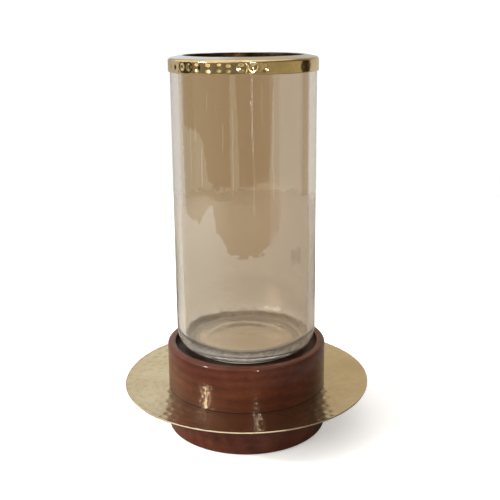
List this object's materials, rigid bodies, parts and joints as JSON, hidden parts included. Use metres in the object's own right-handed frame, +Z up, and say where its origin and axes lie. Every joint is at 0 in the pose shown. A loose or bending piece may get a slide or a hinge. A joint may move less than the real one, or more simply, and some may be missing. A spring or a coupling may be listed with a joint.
{
  "type": "table hurricane candle holder",
  "caption": "Table candle holder: thick glass cylinder with a brass rim standing in a turned wood cup, over a wide brass disc and a turned wood foot.",
  "frame": {"origin": "centre of the underside, on the surface the holder stands on", "axes": "+Z up along the glass cylinder's axis; +X and +Y are any two square horizontal directions, as the holder is round"},
  "size_m": [0.1774, 0.1774, 0.2678],
  "materials": {
    "smoked_glass": "clear, smoked amber tint, polished",
    "rim_brass": "polished, one row of hammer marks",
    "rim_bedding": "translucent silicone, matt",
    "cup_wood": "dark red-brown stain under gloss lacquer",
    "pale_felt": "pressed felt, matt",
    "disc_brass": "satin, rings of shallow hammer marks",
    "foot_wood": "dark red-brown stain under gloss lacquer",
    "dark_felt": "pressed felt, matt",
    "screw_steel": "zinc plated",
    "washer_steel": "zinc plated"
  },
  "bodies": {
    "base": {"wood_cup": "cup_wood", "brass_disc": "disc_brass", "wood_foot": "foot_wood", "glass_pad": "pale_felt", "base_pad": "dark_felt", "centre_screw": "screw_steel", "flat_washer": "washer_steel", "lock_washer": "washer_steel"},
    "chimney": {"glass_cylinder": "smoked_glass", "rim_band": "rim_brass", "rim_bedding": "rim_bedding"}
  },
  "joints": [
    {"name": "glass_lift", "type": "slide", "parent": "base", "child": "chimney", "axis": [0, 0, 1], "range_m": [0, 0.06]}
  ]
}
